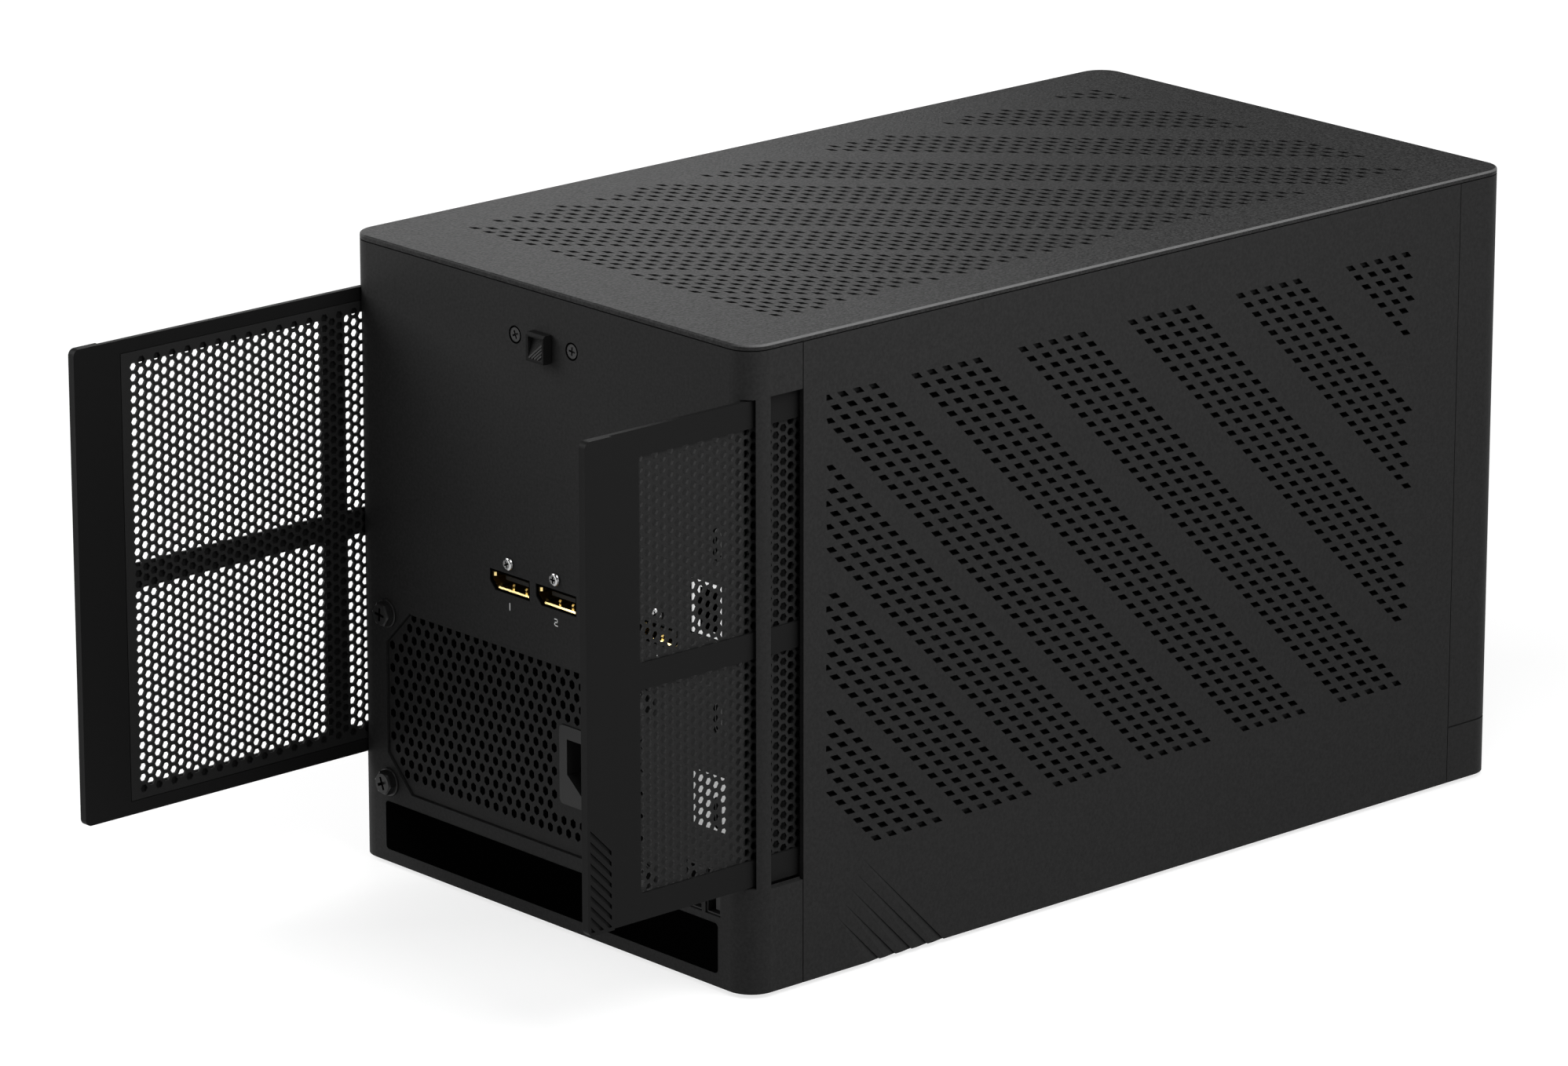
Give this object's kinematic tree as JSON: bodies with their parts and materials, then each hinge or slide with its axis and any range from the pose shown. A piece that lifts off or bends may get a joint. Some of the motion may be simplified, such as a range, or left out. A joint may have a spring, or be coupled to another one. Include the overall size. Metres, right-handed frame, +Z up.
{
  "type": "external graphics card enclosure",
  "caption": "Upright black metal box for a graphics card, with diagonal bands of vents, a rear wall of sockets and dust filters that slide out at the rear corners",
  "frame": {"origin": "on the table under the middle of the body, 1.7 mm below the floor sheet's underside", "axes": "+Z up, the rear wall with the sockets faces -Y, +X is the right side seen from the front of the picture"},
  "size_m": [0.172, 0.4043, 0.189],
  "materials": {
    "shell": "fine grained black paint",
    "top_shell": "fine grained black paint",
    "chassis": "satin black paint",
    "supply": "satin black paint",
    "filter": "smooth black moulding",
    "mesh": "thin black perforated sheet",
    "moulding": "black moulding",
    "rubber": "plain black rubber",
    "dark_screw": "blackened steel",
    "bright_screw": "bright plated steel",
    "gold": "gold plated",
    "port": "plated steel",
    "board": "dark circuit board",
    "copper": "copper",
    "radiator": "black painted aluminium"
  },
  "bodies": {
    "enclosure": {"rear_cover": "shell", "front_cover": "shell", "right_side_panel": "shell", "left_side_panel": "shell", "top_cover": "top_shell", "top_rim": "chassis", "right_chassis_wall": "chassis", "left_chassis_wall": "chassis", "base_plate": "chassis", "fan_plate": "chassis", "mid_shelf": "chassis", "slider_bracket": "chassis", "psu_stand": "chassis", "card_bracket": "chassis", "right_lower_channel": "chassis", "right_upper_channel": "chassis", "left_lower_channel": "chassis", "left_upper_channel": "chassis", "psu_case": "supply", "psu_lid": "supply", "power_inlet": "moulding", "psu_outlet": "moulding", "pump": "moulding", "card_power_socket": "moulding", "card_slot": "moulding", "usb_a_stack": "moulding", "rear_fan_frame": "moulding", "front_fan_frame": "moulding", "socket_tongues": "moulding", "rubber_feet": "rubber", "supply_hose": "rubber", "return_hose": "rubber", "power_lead": "rubber", "slider_screws": "dark_screw", "psu_screws": "dark_screw", "fan_screws": "dark_screw", "socket_screws": "bright_screw", "board_posts": "bright_screw", "card_posts": "bright_screw", "inlet_pins": "bright_screw", "hose_fittings": "bright_screw", "video_socket_1": "gold", "video_socket_2": "gold", "video_socket_3": "gold", "video_socket_wide": "gold", "network_socket": "port", "usb_c_sockets": "port", "psu_board": "board", "card_board": "board", "interface_board": "board", "cold_plate": "copper", "radiator": "radiator"},
    "right_filter": {"right_filter_frame": "filter", "right_filter_mesh": "mesh"},
    "left_filter": {"left_filter_frame": "filter", "left_filter_mesh": "mesh"},
    "slider": {"release_slider": "filter"},
    "rear_rotor": {"rear_fan_rotor": "moulding"},
    "front_rotor": {"front_fan_rotor": "moulding"},
    "supply_rotor": {"psu_fan_rotor": "moulding"}
  },
  "joints": [
    {"name": "right_filter_slide", "type": "slide", "parent": "enclosure", "child": "right_filter", "axis": [0, 1, 0], "range_m": [-0.1426, 0.0634]},
    {"name": "left_filter_slide", "type": "slide", "parent": "enclosure", "child": "left_filter", "axis": [0, 1, 0], "range_m": [-0.0977, 0.1083]},
    {"name": "release_slide", "type": "slide", "parent": "enclosure", "child": "slider", "axis": [0, 0, 1], "range_m": [0, 0.0033]},
    {"name": "rear_fan_spin", "type": "hinge", "parent": "enclosure", "child": "rear_rotor", "pos_m": [0, -0.0602, 0.175], "axis": [0, 0, 1], "continuous": true},
    {"name": "front_fan_spin", "type": "hinge", "parent": "enclosure", "child": "front_rotor", "pos_m": [0, 0.0602, 0.175], "axis": [0, 0, 1], "continuous": true},
    {"name": "supply_fan_spin", "type": "hinge", "parent": "enclosure", "child": "supply_rotor", "pos_m": [-0.0145, -0.0975, 0.075], "axis": [0, 0, 1], "continuous": true}
  ]
}
